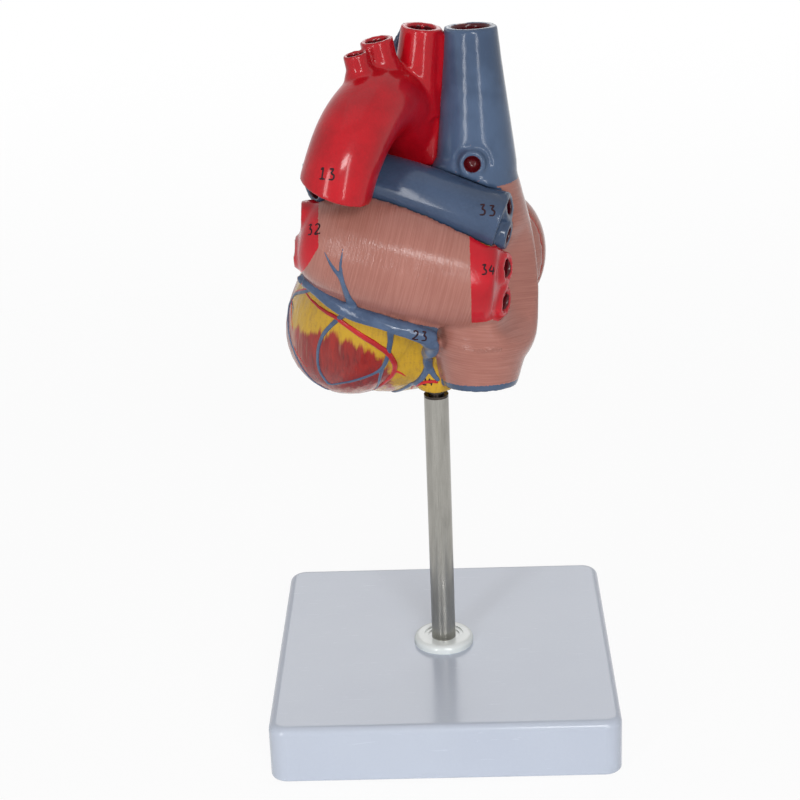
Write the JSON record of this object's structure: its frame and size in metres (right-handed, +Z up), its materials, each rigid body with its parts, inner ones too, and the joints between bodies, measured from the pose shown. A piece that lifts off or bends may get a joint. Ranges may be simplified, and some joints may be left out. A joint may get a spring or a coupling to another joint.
{
  "type": "anatomical heart model",
  "caption": "Life-size painted model of a human heart on a post and square base. The heart turns and lifts off its pin, and its front wall comes off to show chambers and valves.",
  "frame": {"origin": "on the surface that the base stands on, under the post's axis and the base's centre", "axes": "+Z up along the post; +Y towards the front of the heart, where the front wall comes off; +X towards the side of the venae cavae"},
  "size_m": [0.14, 0.14, 0.2867],
  "materials": {
    "base_white": "satin moulded plastic",
    "collar_white": "glossy moulded plastic",
    "foot_rubber": "matt rubber",
    "post_steel": "drawn, brushed along the post",
    "plug_brass": "turned",
    "fastener_steel": "zinc plated",
    "pin_steel": "dark turned steel",
    "socket_brass": "turned",
    "painted_heart": "hand-painted, glossy lacquer",
    "artery_red": "hand-painted, glossy lacquer",
    "pulmonary_blue": "hand-painted, glossy lacquer",
    "muscle_red": "hand-painted, glossy lacquer",
    "valve_ivory": "hand-painted, satin",
    "chorda_ivory": "hand-painted, satin",
    "magnet_nickel": "nickel plated"
  },
  "bodies": {
    "stand": {"base_plate": "base_white", "rubber_feet": "foot_rubber", "post_collar": "collar_white", "post_tube": "post_steel", "tube_plug": "plug_brass", "clamp_screw": "fastener_steel", "clamp_washer": "fastener_steel"},
    "spigot": {"spigot_pin": "pin_steel"},
    "heart": {"heart_rear_wall": "painted_heart", "pin_socket": "socket_brass", "rear_magnets": "magnet_nickel", "aorta": "artery_red", "pulmonary_arteries": "pulmonary_blue", "mitral_valve": "valve_ivory", "tricuspid_valve": "valve_ivory", "aortic_valve": "valve_ivory", "pulmonary_valve": "valve_ivory", "left_papillary_muscles": "muscle_red", "right_papillary_muscles": "muscle_red", "mitral_chordae": "chorda_ivory", "tricuspid_chordae": "chorda_ivory"},
    "front": {"front_wall": "painted_heart", "front_magnets": "magnet_nickel"}
  },
  "joints": [
    {"name": "heart_turn", "type": "hinge", "parent": "stand", "child": "spigot", "pos_m": [0, 0, 0.137], "axis": [0, 0, 1], "continuous": true},
    {"name": "heart_lift", "type": "slide", "parent": "spigot", "child": "heart", "axis": [0, 0, 1], "range_m": [0, 0.045]},
    {"name": "front_wall_off", "type": "slide", "parent": "heart", "child": "front", "axis": [0, 1, 0], "range_m": [0, 0.11]}
  ]
}
